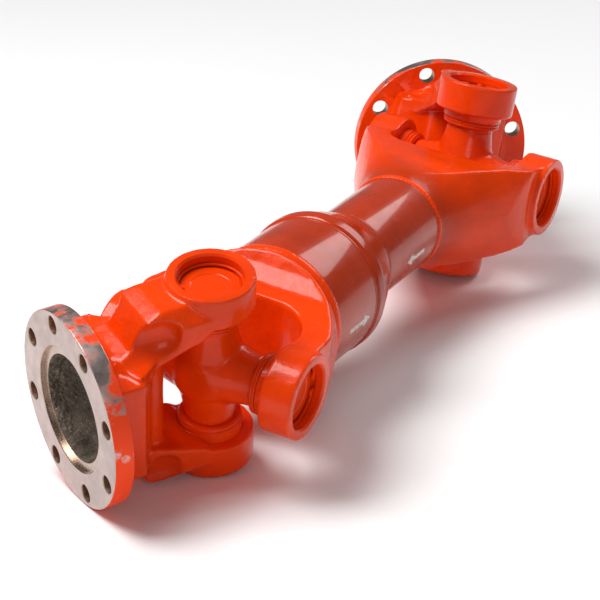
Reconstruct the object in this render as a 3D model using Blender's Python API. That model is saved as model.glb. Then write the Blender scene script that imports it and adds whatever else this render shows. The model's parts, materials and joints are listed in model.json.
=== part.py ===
"""Universal joint shaft with flange yokes, two crosses and a splined slip joint.

The shaft frame has its origin at the front joint centre, +X along the shaft to the rear joint,
the shaft yokes' ears on the Y axis and the flange yokes' ears on the Z axis of each cross.
Lengths are in millimetres until a vertex is made, and the finished scene is in metres.
"""
import math

import bmesh
import bpy
from mathutils import Matrix, Vector

MM = 0.001

# Stance: the shaft lies on its flange rims and on the bottom ears of its flange yokes.
STANCE_ROLL = math.radians(7.51)
STANCE_PITCH = math.radians(0.109)
FRONT_TILT = math.radians(-13.11)     # front cross about its shaft yoke's ears
FRONT_SWING = math.radians(-33.6)     # front flange about the cross
REAR_TILT = math.radians(10.87)
REAR_SWING = math.radians(32.2)
REAR_CLOCKING = math.radians(-1.5)    # rear yoke against front yoke, one spline fit

# Joints
JOINT_DISTANCE = 552.0                # joint centre to joint centre, slip joint at rest
FLANGE_REACH = 137.0                  # joint centre to flange face

# Flange
FLANGE_RADIUS = 90.0
FLANGE_THICKNESS = 18.0
BOLT_CIRCLE_RADIUS = 77.75
BOLT_HOLE_RADIUS = 8.0
BOLT_COUNT = 8
REGISTER_RADIUS = 57.5
REGISTER_DEPTH = 4.0
POCKET_RADIUS = 49.0
POCKET_FLOOR_RADIUS = 27.0
POCKET_WALL_DEPTH = 20.0
POCKET_DEPTH = 31.0

# Ears and the bearings in them, with distances measured from the joint centre
EAR_FACE = 97.6
EAR_INNER = 66.6
EAR_RADIUS = 39.5
EAR_ROOT_RADIUS = EAR_RADIUS - 2.0    # the casting around the ear's boss
EAR_BORE_RADIUS = 29.7
BORE_START = 30.0
BORE_CHAMFER = 1.5
CLEARANCE = 0.3
CAP_FACE = 86.2
CUP_MOUTH = 58.0
CUP_WALL = 6.5
CUP_FLOOR = 6.0
JOURNAL_RADIUS = 19.5
JOURNAL_END = 79.6
CIRCLIP_BORE_RADIUS = 25.4
CIRCLIP_THICKNESS = 2.4
CIRCLIP_GROOVE_RADIUS = 31.6
SHOULDER_RADIUS = 23.4
SHOULDER_END = 51.0
SEAL_RADIUS = 28.6
CROSS_CORE_RADIUS = 33.0
CHAMFER = 1.5
RUNNING_GAP = 0.7                     # keeps facets of different counts clear of each other

# Shaft yokes: (x, half width) outlines, x away from the joint towards the shaft
YOKE_TIP = -45.0
THROAT_DEPTH = 68.0
THROAT_CORNER = 40.0
FRONT_YOKE_TURNING = [(30.0, 104.0), (62.0, 94.0), (90.0, 82.0), (112.0, 68.0), (118.0, 68.0)]
FRONT_YOKE_PLAN = [(-EAR_RADIUS, 92.0), (45.0, 92.0), (62.0, 87.0), (120.0, 72.0)]
FRONT_YOKE_SIDE = [(30.0, EAR_ROOT_RADIUS), (58.0, 44.0), (76.0, 56.0), (96.0, 72.0), (122.0, 76.0)]
REAR_YOKE_TURNING = [(30.0, 104.0), (53.0, 96.0), (83.0, 81.0), (113.0, 66.0), (140.0, 52.5),
                     (156.0, 47.7), (161.5, 47.7)]
REAR_YOKE_PLAN = [(-EAR_RADIUS, 92.0), (45.0, 92.0), (60.0, 89.0), (165.0, 60.0)]
REAR_YOKE_SIDE = [(25.0, EAR_ROOT_RADIUS), (70.0, 47.0), (100.0, 49.5), (168.0, 52.0)]
NECK_CAVITY_RADIUS = 46.0
NECK_CAVITY_START = 84.0

# Flange yokes: outlines with x away from the joint towards the flange
FLANGE_YOKE_TURNING = [(-45.0, 100.0), (80.0, 100.0), (98.0, 66.0), (108.0, 60.0), (124.0, 66.0)]
FLANGE_YOKE_SIDE = [(-42.0, 93.0), (60.0, 93.0), (74.0, 88.0), (92.0, 60.0), (104.0, 56.0), (128.0, 60.0)]
FLANGE_YOKE_PLAN = [(70.0, 36.0), (100.0, 58.0), (126.0, 62.0)]
FLANGE_YOKE_THROAT = [(-80.0, EAR_INNER), (14.0, EAR_INNER), (24.0, 60.0), (70.0, 45.0), (84.0, 33.0)]
POST_CENTRE = 79.5                    # rounded middle between the two arms
POST_RADIUS = 30.0
POST_HALF_HEIGHT = 50.0
POST_ROOT = [(91.2, 57.0), (118.0, 57.0)]
FLANK_RELIEF = [(20.0, 110.0), (20.0, 42.0), (73.0, 30.0), (93.0, 58.6), (93.0, 110.0)]
FLANK_RELIEF_HALF_HEIGHT = 40.0
SCOOP_RADIUS = 21.0                   # room for a bolt head and its spanner
SCOOP_END = 45.0
SCOOP_Y = 42.0
SCOOP_Z = 74.0

# Slip joint
SLEEVE_RADIUS = 68.0
SLEEVE_BORE_RADIUS = 57.0
SLEEVE_START = FRONT_YOKE_TURNING[-1][0]
SLEEVE_END = 203.0
GLAND_LIP_RADIUS = 70.0
GLAND_LIP_END = 216.0
GLAND_END = 270.0
GLAND_NOSE_RADIUS = 51.0
TUBE_RADIUS = 47.7
TUBE_BORE_RADIUS = 40.0
TUBE_START = 208.0
WIPER_WIDTH = 5.0
REAR_NECK_REACH = REAR_YOKE_TURNING[-1][0]
SLEEVE_WELD_HEIGHT = 2.6
TUBE_WELD_HEIGHT = 2.0
SPLINE_TEETH = 16
SPLINE_TIP_RADIUS = 42.0
SPLINE_ROOT_RADIUS = 37.5
SPLINE_START = 100.0
SPLINE_SHAPE = ((0.0, 0.0), (0.18, 1.0), (0.5, 1.0), (0.68, 0.0))    # (share of pitch, height)
HUB_START = 121.0
HUB_END = 185.0

# Facets in a full turn
COARSE = 18
FINE = 32
JOURNAL_FACETS = 16
BOSS_FACETS = 24
SCOOP_FACETS = 12
HOLE_FACETS = 10
BEYOND = 120.0                        # how far a cutter reaches past the castings

ENAMEL = ("red_enamel", (0.62, 0.045, 0.012), 0.22, 0.0)
STEEL = ("bare_steel", (0.42, 0.37, 0.35), 0.35, 1.0)
BEARING_STEEL = ("bearing_steel", (0.55, 0.55, 0.56), 0.2, 1.0)
RUBBER = ("seal_rubber", (0.02, 0.02, 0.02), 0.6, 0.0)


def clear_scene():
    for thing in list(bpy.data.objects):
        bpy.data.objects.remove(thing, do_unlink=True)


def material(finish):
    name, colour, roughness, metallic = finish
    found = bpy.data.materials.get(name)
    if found:
        return found
    made = bpy.data.materials.new(name)
    made.use_nodes = True
    shader = made.node_tree.nodes["Principled BSDF"]
    shader.inputs["Base Color"].default_value = (*colour, 1.0)
    shader.inputs["Roughness"].default_value = roughness
    shader.inputs["Metallic"].default_value = metallic
    made.diffuse_color = (*colour, 1.0)
    return made


def solid(name, mesh_data, finish=ENAMEL, parent=None):
    """Turn a bmesh drawn in millimetres into a named object in metres."""
    bmesh.ops.recalc_face_normals(mesh_data, faces=mesh_data.faces)
    bmesh.ops.scale(mesh_data, vec=(MM, MM, MM), verts=mesh_data.verts)
    mesh = bpy.data.meshes.new(name)
    mesh_data.to_mesh(mesh)
    mesh_data.free()
    mesh.materials.append(material(finish))
    made = bpy.data.objects.new(name, mesh)
    made.parent = parent
    bpy.context.scene.collection.objects.link(made)
    return made


def smooth(part, angle=35.0):
    part.data.shade_smooth()
    part.data.set_sharp_from_angle(angle=math.radians(angle))
    return part


def turned_mesh(profile, segments=COARSE, closed=False):
    """Turn (x, radius) points about the X axis; a radius of 0 closes the end in a point."""
    data = bmesh.new()
    rings = []
    for x, radius in profile:
        if radius == 0.0:
            rings.append([data.verts.new((x, 0.0, 0.0))])
            continue
        turn = 2.0 * math.pi / segments
        rings.append([data.verts.new((x, radius * math.cos(k * turn), radius * math.sin(k * turn)))
                      for k in range(segments)])
    pairs = list(zip(rings, rings[1:]))
    if closed:
        pairs.append((rings[-1], rings[0]))
    for ring, following in pairs:
        for k in range(segments):
            after = (k + 1) % segments
            corners = [ring[k % len(ring)], ring[after % len(ring)],
                       following[after % len(following)], following[k % len(following)]]
            data.faces.new(list(dict.fromkeys(corners)))
    return data


def turned(name, profile, segments=COARSE, closed=False, axis="X", sign=1, finish=ENAMEL, parent=None):
    """A turned piece whose profile's x runs outward along sign * axis."""
    data = turned_mesh(profile, segments, closed)
    turns = {"X": Matrix.Identity(4), "Y": Matrix.Rotation(math.pi / 2, 4, "Z"),
             "Z": Matrix.Rotation(-math.pi / 2, 4, "Y")}
    flip = Matrix.Identity(4) if sign > 0 else Matrix.Rotation(math.pi, 4, "X" if axis != "X" else "Z")
    bmesh.ops.transform(data, matrix=flip @ turns[axis], verts=data.verts)
    return smooth(solid(name, data, finish, parent))


def prism(outline, half_height, toward, plane="XY"):
    """A tool: an outline, its x counted towards sign toward, extruded both ways off its plane."""
    data = bmesh.new()
    rings = []
    for height in (-half_height, half_height):
        corners = [(toward * a, b, height) if plane == "XY" else (toward * a, height, b) for a, b in outline]
        rings.append([data.verts.new(corner) for corner in corners])
    bottom, top = rings
    data.faces.new(bottom)
    data.faces.new(top)
    for k in range(len(outline)):
        after = (k + 1) % len(outline)
        data.faces.new((bottom[k], bottom[after], top[after], top[k]))
    return solid("tool", data)


def arc(centre, radius, start, end, steps):
    """Points on an arc, angles in degrees."""
    angles = [math.radians(start + (end - start) * k / steps) for k in range(steps + 1)]
    return [(centre[0] + radius * math.cos(a), centre[1] + radius * math.sin(a)) for a in angles]


def mirrored(half):
    """Close an outline drawn on the +b side with its mirror image."""
    return half + [(a, -b) for a, b in reversed(half) if b != 0.0]


def combine(part, tools, operation):
    """Apply a Boolean with each tool in turn and remove the tools."""
    for tool in tools:
        tool.parent = part.parent
        step = part.modifiers.new("cut", "BOOLEAN")
        step.operation = operation
        step.solver = "EXACT"
        step.object = tool
        bpy.context.view_layer.update()
        finished = bpy.data.meshes.new_from_object(part.evaluated_get(bpy.context.evaluated_depsgraph_get()))
        part.modifiers.clear()
        part.data = finished
        bpy.data.objects.remove(tool, do_unlink=True)
    data = bmesh.new()
    data.from_mesh(part.data)
    bmesh.ops.remove_doubles(data, verts=data.verts, dist=0.00002)
    bmesh.ops.dissolve_degenerate(data, edges=data.edges, dist=0.00002)
    data.to_mesh(part.data)
    data.free()
    return part


def disc(axis, sign, radius, start, end, segments=BOSS_FACETS):
    return turned("tool", [(start, 0.0), (start, radius), (end, radius), (end, 0.0)],
                  segments, axis=axis, sign=sign)


def empty(name, parent=None, location=(0.0, 0.0, 0.0), turn=(0.0, 0.0, 0.0)):
    made = bpy.data.objects.new(name, None)
    made.empty_display_size = 0.05
    made.parent = parent
    made.location = Vector(location) * MM
    made.rotation_euler = turn
    bpy.context.scene.collection.objects.link(made)
    return made


def bore_ears(yoke, axis):
    """Open the bearing bores in both ears, with their circlip grooves and outer chamfers."""
    groove_start = CAP_FACE + CLEARANCE
    groove_end = groove_start + CIRCLIP_THICKNESS + 2 * CLEARANCE
    beyond = EAR_FACE + 1.0
    profile = [(BORE_START, 0.0), (BORE_START, EAR_BORE_RADIUS), (groove_start, EAR_BORE_RADIUS),
               (groove_start, CIRCLIP_GROOVE_RADIUS), (groove_end, CIRCLIP_GROOVE_RADIUS),
               (groove_end, EAR_BORE_RADIUS), (EAR_FACE - BORE_CHAMFER, EAR_BORE_RADIUS),
               (beyond, EAR_BORE_RADIUS + BORE_CHAMFER + 1.0), (beyond, 0.0)]
    combine(yoke, [turned("tool", profile, axis=axis, sign=sign) for sign in (1, -1)], "DIFFERENCE")


def ear_bosses(axis):
    return [disc(axis, sign, EAR_RADIUS, EAR_INNER - 6.0, EAR_FACE) for sign in (1, -1)]


def ear_end():
    """Half outline of a round ear, from its tip to its widest point."""
    return arc((0.0, 0.0), EAR_ROOT_RADIUS, 180.0, 90.0, 6)


def shaft_yoke(name, parent, turning, plan, side, toward):
    """The common part of a turned blank, a plan and a side outline, with bosses and a throat."""
    blank = [(YOKE_TIP, 0.0), (YOKE_TIP, turning[0][1])] + turning + [(turning[-1][0], 0.0)]
    yoke = turned(name, blank, FINE, sign=toward, parent=parent)
    combine(yoke, [prism(mirrored(plan), BEYOND, toward),
                   prism(mirrored(ear_end() + side), BEYOND, toward, "XZ")], "INTERSECT")
    combine(yoke, ear_bosses("Y"), "UNION")
    corner = (THROAT_DEPTH - THROAT_CORNER, EAR_INNER - THROAT_CORNER)
    throat = [(-70.0, EAR_INNER)] + arc(corner, THROAT_CORNER, 90.0, 0.0, 6)
    combine(yoke, [prism(mirrored(throat), BEYOND, toward)], "DIFFERENCE")
    bore_ears(yoke, "Y")
    return smooth(yoke)


def flange_yoke(name, parent, toward):
    """A flange with a short neck and two arms; toward is the side of the flange on X."""
    back = FLANGE_REACH - FLANGE_THICKNESS
    blank = [(YOKE_TIP, 0.0)] + FLANGE_YOKE_TURNING + [(FLANGE_YOKE_TURNING[-1][0], 0.0)]
    yoke = turned(name, blank, FINE, sign=toward, parent=parent)
    combine(yoke, [prism(mirrored(FLANGE_YOKE_SIDE), BEYOND, toward, "XZ"),
                   prism(mirrored(ear_end() + FLANGE_YOKE_PLAN), BEYOND, toward)], "INTERSECT")
    combine(yoke, ear_bosses("Z"), "UNION")
    combine(yoke, [prism(mirrored(FLANGE_YOKE_THROAT), BEYOND, toward, "XZ")], "DIFFERENCE")
    post = mirrored(arc((POST_CENTRE, 0.0), POST_RADIUS, 180.0, 105.0, 5) + POST_ROOT)
    combine(yoke, [prism(post, POST_HALF_HEIGHT, toward)], "UNION")
    reliefs = [prism([(x, side * y) for x, y in FLANK_RELIEF], FLANK_RELIEF_HALF_HEIGHT, toward)
               for side in (1, -1)]
    combine(yoke, reliefs, "DIFFERENCE")
    combine(yoke, [disc("X", toward, FLANGE_RADIUS, back, FLANGE_REACH, FINE)], "UNION")
    face_recess(yoke, toward)
    for k in range(BOLT_COUNT):
        angle = 2.0 * math.pi * (k + 0.5) / BOLT_COUNT
        hole = disc("X", toward, BOLT_HOLE_RADIUS, back - 1.0, FLANGE_REACH + 5.0, HOLE_FACETS)
        place = Vector((0.0, math.cos(angle), math.sin(angle))) * BOLT_CIRCLE_RADIUS * MM
        hole.data.transform(Matrix.Translation(place))
        combine(yoke, [hole], "DIFFERENCE")
    for side_y, side_z in ((1, 1), (1, -1), (-1, 1), (-1, -1)):
        combine(yoke, [bolt_scoop(back - 0.01, side_y, side_z, toward)], "DIFFERENCE")
    bore_ears(yoke, "Z")
    return smooth(yoke)


def face_recess(yoke, toward):
    """Cut the register step and the cast pocket inside it."""
    step, beyond = FLANGE_REACH - REGISTER_DEPTH, FLANGE_REACH + 1.0
    profile = [(beyond, 0.0), (beyond, REGISTER_RADIUS), (step, REGISTER_RADIUS), (step, POCKET_RADIUS),
               (FLANGE_REACH - POCKET_WALL_DEPTH, POCKET_RADIUS - 2.0),
               (FLANGE_REACH - POCKET_DEPTH, POCKET_FLOOR_RADIUS), (FLANGE_REACH - POCKET_DEPTH, 0.0)]
    combine(yoke, [turned("tool", profile, FINE, sign=toward)], "DIFFERENCE")


def bolt_scoop(back, side_y, side_z, toward):
    """A round-nosed cutter beside an arm, behind a bolt hole."""
    nose = [(SCOOP_END + SCOOP_RADIUS * (1.0 - math.sin(a)), SCOOP_RADIUS * math.cos(a))
            for a in (math.radians(degrees) for degrees in (0.0, 30.0, 60.0))]
    profile = [(back, 0.0), (back, SCOOP_RADIUS)] + nose + [(SCOOP_END, 0.0)]
    scoop = turned("tool", profile, SCOOP_FACETS, sign=toward)
    scoop.data.transform(Matrix.Translation((0.0, side_y * SCOOP_Y * MM, side_z * SCOOP_Z * MM)))
    return scoop


def cross(name, parent):
    """Four journals on round shoulders, joined by a round middle."""
    half = [(SHOULDER_END, SHOULDER_RADIUS), (SHOULDER_END, JOURNAL_RADIUS),
            (JOURNAL_END - CHAMFER, JOURNAL_RADIUS), (JOURNAL_END, JOURNAL_RADIUS - CHAMFER),
            (JOURNAL_END, 0.0)]
    arm = [(-x, radius) for x, radius in reversed(half)] + half
    core = arc((0.0, 0.0), CROSS_CORE_RADIUS, 180.0, 0.0, 8)[1:-1]
    core = [(-CROSS_CORE_RADIUS, 0.0)] + core + [(CROSS_CORE_RADIUS, 0.0)]
    body = turned(name, core, JOURNAL_FACETS, parent=parent)
    combine(body, [turned("tool", arm, JOURNAL_FACETS, axis=axis) for axis in ("Y", "Z")], "UNION")
    return smooth(body, 30.0)


def bearing(prefix, label, axis, sign, ear_parent, cross_parent):
    """A closed cup, its ring of needle rollers, its circlip and its seal, in one ear."""
    def piece(kind, profile, closed, finish, parent):
        turned(f"{prefix}_{kind}_{label}", profile, COARSE, closed, axis, sign, finish, parent)

    cup_radius = EAR_BORE_RADIUS - CLEARANCE
    cup_bore = cup_radius - CUP_WALL
    floor = CAP_FACE - CUP_FLOOR
    piece("cup", [(CAP_FACE, 0.0), (CAP_FACE, cup_radius - CHAMFER), (CAP_FACE - CHAMFER, cup_radius),
                  (CUP_MOUTH, cup_radius), (CUP_MOUTH, cup_bore), (floor, cup_bore), (floor, 0.0)],
          False, BEARING_STEEL, ear_parent)
    low, high = CUP_MOUTH + 2.0, JOURNAL_END - CHAMFER
    inside, outside = JOURNAL_RADIUS + RUNNING_GAP, cup_bore - CLEARANCE
    piece("needles", [(low, inside), (low, outside), (high, outside), (high, inside)],
          True, BEARING_STEEL, ear_parent)
    low = CAP_FACE + 2 * CLEARANCE
    high = low + CIRCLIP_THICKNESS
    inside, outside = CIRCLIP_BORE_RADIUS, CIRCLIP_GROOVE_RADIUS - CLEARANCE
    piece("circlip", [(low, inside), (low, outside), (high, outside), (high, inside)],
          True, ENAMEL, ear_parent)
    low, high = SHOULDER_END + CLEARANCE, CUP_MOUTH - CLEARANCE
    inside = JOURNAL_RADIUS + RUNNING_GAP
    piece("seal", [(low, inside), (low, SEAL_RADIUS - CHAMFER), (low + CHAMFER, SEAL_RADIUS),
                   (high, SEAL_RADIUS), (high, inside)], True, ENAMEL, cross_parent)


def spline_ring(name, fit, outer, start, end, turn, parent):
    """A toothed prism: a hub inside radius outer, or a shaft when outer is None."""
    data = bmesh.new()
    pitch = 2.0 * math.pi / SPLINE_TEETH
    tooth_height = SPLINE_TIP_RADIUS - SPLINE_ROOT_RADIUS
    outline = [(SPLINE_ROOT_RADIUS + fit + tooth_height * height, (tooth + share) * pitch + turn)
               for tooth in range(SPLINE_TEETH) for share, height in SPLINE_SHAPE]
    count = len(outline)

    def ring(x, radii):
        return [data.verts.new((x, r * math.cos(a), r * math.sin(a))) for r, a in radii]

    def band(first, last):
        for k in range(count):
            after = (k + 1) % count
            data.faces.new((first[k], first[after], last[after], last[k]))

    toothed = [ring(x, outline) for x in (start, end)]
    band(*toothed)
    if outer:
        plain = [ring(x, [(outer, angle) for _, angle in outline]) for x in (start, end)]
        band(*plain)
        band(toothed[0], plain[0])
        band(toothed[1], plain[1])
    else:
        data.faces.new(toothed[0])
        data.faces.new(toothed[1])
    return solid(name, data, STEEL, parent)


def weld_bead(name, middle, radius, height, pitch, parent):
    """A low ring of weld with four points across it."""
    inside = radius + CLEARANCE
    profile = [(middle + (k - 1.5) * pitch, inside + height * math.sin(math.pi * k / 3)) for k in range(4)]
    turned(name, profile, FINE, closed=True, parent=parent)


def slip_joint(front, rear):
    """Sleeve with its splined hub, gland and wiper; tube with its splined stub."""
    start = SLEEVE_START + CLEARANCE
    turned("spline_sleeve", [(start, SLEEVE_BORE_RADIUS), (start, SLEEVE_RADIUS),
                             (SLEEVE_END, SLEEVE_RADIUS), (SLEEVE_END, SLEEVE_BORE_RADIUS)],
           FINE, closed=True, parent=front)
    weld_bead("sleeve_weld", SLEEVE_START, SLEEVE_RADIUS, SLEEVE_WELD_HEIGHT, 4.0, front)
    spline_ring("spline_hub", 0.4, SLEEVE_BORE_RADIUS - RUNNING_GAP, HUB_START, HUB_END, 0.0, front)
    start = SLEEVE_END + CLEARANCE
    nose_bore = TUBE_RADIUS + 0.5
    turned("seal_gland", [(start, SLEEVE_BORE_RADIUS), (start, SLEEVE_RADIUS),
                          (SLEEVE_END + 3.0, GLAND_LIP_RADIUS), (GLAND_LIP_END, GLAND_LIP_RADIUS),
                          (GLAND_END, GLAND_NOSE_RADIUS), (GLAND_END, nose_bore),
                          (GLAND_END - 26.0, nose_bore), (GLAND_END - 38.0, SLEEVE_BORE_RADIUS)],
           FINE, closed=True, parent=front)
    start, end = GLAND_END + CLEARANCE, GLAND_END + WIPER_WIDTH
    turned("wiper_ring", [(start, nose_bore), (start, GLAND_NOSE_RADIUS), (end - 2.0, GLAND_NOSE_RADIUS),
                          (end, nose_bore + 1.0), (end, nose_bore)],
           FINE, closed=True, finish=RUBBER, parent=front)
    start, end = TUBE_START - JOINT_DISTANCE, -REAR_NECK_REACH - CLEARANCE
    stub = spline_ring("splined_stub", 0.0, None, SPLINE_START - JOINT_DISTANCE, start - CLEARANCE,
                       -REAR_CLOCKING, rear)
    combine(stub, [disc("X", 1, TUBE_BORE_RADIUS - CLEARANCE, start - 5.0, start + 40.0)], "UNION")
    turned("shaft_tube", [(start, TUBE_BORE_RADIUS), (start, TUBE_RADIUS), (end, TUBE_RADIUS),
                          (end, TUBE_BORE_RADIUS)], FINE, closed=True, parent=rear)
    weld_bead("tube_weld", -REAR_NECK_REACH, TUBE_RADIUS, TUBE_WELD_HEIGHT, 3.0, rear)


def stand_on_floor(frame):
    """Put the world origin under the middle of the whole shaft, at its lowest point."""
    bpy.context.view_layer.update()
    points = [thing.matrix_world @ vertex.co for thing in bpy.data.objects if thing.type == "MESH"
              for vertex in thing.data.vertices]
    low, high = ([pick(point[k] for point in points) for k in range(3)] for pick in (min, max))
    frame.location = (-(low[0] + high[0]) / 2, -(low[1] + high[1]) / 2, -low[2])


def main():
    clear_scene()
    frame = empty("shaft_frame", turn=(STANCE_ROLL, STANCE_PITCH, 0.0))
    rear = empty("rear_shaft_frame", frame, (JOINT_DISTANCE, 0.0, 0.0), (REAR_CLOCKING, 0.0, 0.0))
    front_cross = empty("front_cross_frame", frame, turn=(0.0, FRONT_TILT, 0.0))
    front_flange = empty("front_flange_frame", front_cross, turn=(0.0, 0.0, FRONT_SWING))
    rear_cross = empty("rear_cross_frame", rear, turn=(0.0, REAR_TILT, 0.0))
    rear_flange = empty("rear_flange_frame", rear_cross, turn=(0.0, 0.0, REAR_SWING))

    front_yoke = shaft_yoke("front_shaft_yoke", frame, FRONT_YOKE_TURNING, FRONT_YOKE_PLAN,
                            FRONT_YOKE_SIDE, 1)
    cavity = disc("X", 1, NECK_CAVITY_RADIUS, NECK_CAVITY_START, SLEEVE_START + 5.0, FINE)
    smooth(combine(front_yoke, [cavity], "DIFFERENCE"))
    shaft_yoke("rear_shaft_yoke", rear, REAR_YOKE_TURNING, REAR_YOKE_PLAN, REAR_YOKE_SIDE, -1)
    flange_yoke("front_flange_yoke", front_flange, -1)
    flange_yoke("rear_flange_yoke", rear_flange, 1)
    ends = (("front", frame, front_cross, front_flange), ("rear", rear, rear_cross, rear_flange))
    for prefix, shaft, cross_frame, flange in ends:
        cross(f"{prefix}_cross", cross_frame)
        for label, axis, sign, ear in (("left", "Y", 1, shaft), ("right", "Y", -1, shaft),
                                       ("top", "Z", 1, flange), ("bottom", "Z", -1, flange)):
            bearing(prefix, label, axis, sign, ear, cross_frame)
    slip_joint(frame, rear)
    stand_on_floor(frame)


main()
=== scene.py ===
"""Universal joint shaft: finished castings, turned parts, finishes, light and camera.

Every part is shaped in the frame of its own joint, x away from the joint's centre, and its place
is applied to its mesh. The attribute "local" keeps a point's place in that frame for the finishes.
"""
import json
import math

import bmesh
import bpy
from mathutils import Matrix, Vector


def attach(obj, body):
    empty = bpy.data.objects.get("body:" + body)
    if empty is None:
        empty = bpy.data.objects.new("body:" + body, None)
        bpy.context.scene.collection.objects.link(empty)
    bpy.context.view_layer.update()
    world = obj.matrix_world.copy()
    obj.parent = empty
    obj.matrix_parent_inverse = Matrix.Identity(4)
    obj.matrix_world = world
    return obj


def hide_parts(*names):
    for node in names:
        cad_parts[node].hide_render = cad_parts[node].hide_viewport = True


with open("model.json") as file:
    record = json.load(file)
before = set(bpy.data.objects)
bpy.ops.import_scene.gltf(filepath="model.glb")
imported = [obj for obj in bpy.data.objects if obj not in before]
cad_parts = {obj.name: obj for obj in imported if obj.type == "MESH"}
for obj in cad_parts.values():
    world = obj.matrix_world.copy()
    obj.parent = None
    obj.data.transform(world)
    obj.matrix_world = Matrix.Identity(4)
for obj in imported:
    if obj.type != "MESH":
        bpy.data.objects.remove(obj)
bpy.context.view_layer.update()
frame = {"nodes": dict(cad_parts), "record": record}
RECORD = frame["record"]
JOINTS = {joint["name"]: joint for joint in RECORD["behaviour"]["joints"]}
FACES = {mount["name"]: mount for mount in RECORD["mounts"]}

bl_info = {
    "name": "Universal joint shaft",
    "version": (1, 0, 0),
    "blender": (4, 5, 0),
    "location": "View3D > Sidebar > Shaft",
    "description": "Builds a flanged universal joint shaft with its finishes and studio",
    "category": "Add Mesh",
}

# Studio: metres, degrees and watts, with the lens and sensor in millimetres
CAMERA_PLACE = (-2.5399, -1.2108, 1.2183)
CAMERA_TURN = (67.621, -0.506, -63.905)
CAMERA_LENS = 190.8
SENSOR_WIDTH = 36.0
LIGHT_AIM = (0.0, 0.0, 0.08)
SOFTBOXES = (                         # name, place, side, power
    ("key_softbox", (-0.7, 0.9, 2.2), 1.3, 66.0),
    ("front_softbox", (-2.2, -1.9, 1.2), 1.0, 9.0),
    ("back_softbox", (1.8, -0.6, 1.7), 1.2, 17.0),
)
SKY_STRENGTH = 0.16
FLOOR_REACH = 12.0
FLOOR_LEVEL = -0.0004

# Yokes, cross and tube: metres, most of them from a joint's centre
JOINT_DISTANCE = 0.552                # from one joint's centre to the other's
REAR_NECK_REACH = 0.1615              # end of the rear yoke's neck, where the tube is welded on
TUBE_START = 0.208                    # from the front joint to the tube's end inside the gland
EAR_INNER = 0.0666                    # inner face of an ear
YOKE_TIP = -0.045                     # where a yoke's blank starts, past the ears' round ends
BOSS_DEPTH = 0.006                    # how far an ear's boss starts inside its inner face
BOSS_SPARE = 0.0006                   # left on a boss for facing off
BOLT_HOLES = 8
HOLE_CHAMFER = 0.0018
REGISTER_DEPTH = 0.004                # the step inside the flange's face
TRUNNION_END = 0.0795

# Mesh making, in metres
POLE = 0.0005                         # a turned end closes in a small flat instead of a point
CUT_REACH = 0.12                      # half height of an outline that passes right through a yoke
PROFILE_MERGE = 1e-6
SEAM_MERGE = 1e-5
CLEAN_MERGE = 2e-6
SHARP_ANGLE = 38.0                    # degrees; flatter edges are shaded smooth
SHAFT_YOKE_PASSES, FLANGE_YOKE_PASSES, CROSS_PASSES = 8, 9, 14

# Tints under and over the enamel, and the colour of painted glints
PRIMER = (0.06, 0.03, 0.022)
TUBE_PRIMER = (0.07, 0.028, 0.02)
# painted glint: bright flecks standing in for light sparkling off raw cast metal
PAINTED_GLINT = (0.58, 0.53, 0.47)
WORN_MARK = (0.55, 0.16, 0.10)
HOLE_STEEL = (0.52, 0.36, 0.26)
REGISTER_STEEL = (0.56, 0.43, 0.35)
SPLINE_STEEL = (0.42, 0.37, 0.35)
NEEDLE_STEEL = (0.55, 0.55, 0.56)

QUARTERS = ((1, 1), (1, -1), (-1, 1), (-1, -1))

# The flange yoke's finishes, in the order of its material slots
FLANGE_FINISHES = ("cast_enamel", "flange_face", "flange_rim", "raw_casting", "register_step", "hole_wall")


# ---------------------------------------------------------------- frames

def axes(origin, x_axis, second, second_is="Y"):
    """A frame from its origin, its X axis and one more axis."""
    x_axis, second = Vector(x_axis).normalized(), Vector(second).normalized()
    y_axis = second if second_is == "Y" else second.cross(x_axis)
    z_axis = x_axis.cross(y_axis)
    turn = Matrix((x_axis, y_axis, z_axis)).transposed().to_4x4()
    return Matrix.Translation(Vector(origin)) @ turn


def cross_axes(tilt, swing):
    """A cross's frame: Y along the shaft yoke's ears, Z along the flange yoke's."""
    y_axis, z_axis = Vector(JOINTS[tilt]["axis"]), Vector(JOINTS[swing]["axis"])
    return axes(JOINTS[swing]["pos_m"], y_axis.cross(z_axis), y_axis)


SLIP_AXIS = Vector(JOINTS["slip"]["axis"])
HALF_TURN = Matrix.Rotation(math.pi, 4, "Z")
PLACES = {
    "front_shaft": axes(JOINTS["front_tilt"]["pos_m"], SLIP_AXIS, JOINTS["front_tilt"]["axis"]),
    # x runs from each joint towards the middle of the shaft, so the rear frame is turned half round
    "rear_shaft": axes(JOINTS["rear_tilt"]["pos_m"], SLIP_AXIS, JOINTS["rear_tilt"]["axis"]) @ HALF_TURN,
    "front_cross": cross_axes("front_tilt", "front_swing"),
    "rear_cross": cross_axes("rear_tilt", "rear_swing"),
    "front_flange": axes(JOINTS["front_swing"]["pos_m"], FACES["front_flange_face"]["axis"],
                         JOINTS["front_swing"]["axis"], "Z"),
    "rear_flange": axes(JOINTS["rear_swing"]["pos_m"], FACES["rear_flange_face"]["axis"],
                        JOINTS["rear_swing"]["axis"], "Z"),
}


# ---------------------------------------------------------------- sizes and colours

def length(name, description, default):
    return bpy.props.FloatProperty(name=name, description=description, default=default,
                                   min=0.0001, unit="LENGTH", precision=4)


def colour(name, description, default):
    return bpy.props.FloatVectorProperty(name=name, description=description, default=default,
                                         subtype="COLOR", size=3, min=0.0, max=1.0)


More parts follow.
